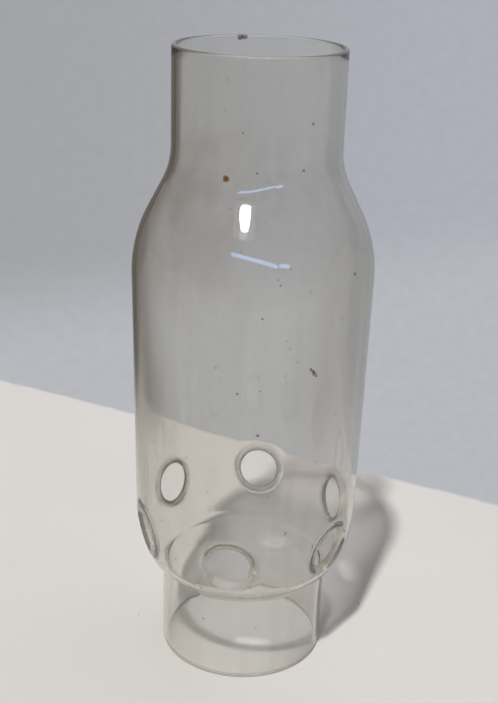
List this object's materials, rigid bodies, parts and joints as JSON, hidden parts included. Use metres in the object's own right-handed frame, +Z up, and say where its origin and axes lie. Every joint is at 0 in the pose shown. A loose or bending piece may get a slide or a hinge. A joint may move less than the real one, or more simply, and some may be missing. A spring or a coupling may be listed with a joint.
{
  "type": "glass lamp chimney",
  "caption": "Clear blown-glass oil-lamp chimney: straight collar, rounded bowl pierced by beaded air holes, tall barrel, sloping shoulder and narrow open neck.",
  "frame": {"origin": "on the axis of the glass, at the foot of the collar that it stands on", "axes": "+Z up the axis towards the neck; -Y towards the first air hole"},
  "size_m": [0.0654, 0.0654, 0.1746],
  "materials": {
    "clear_glass": "clear blown glass, fire-polished rim and hole edges, faint grey-brown soiling"
  },
  "bodies": {
    "root": {"glass_chimney": "clear_glass"}
  },
  "joints": []
}
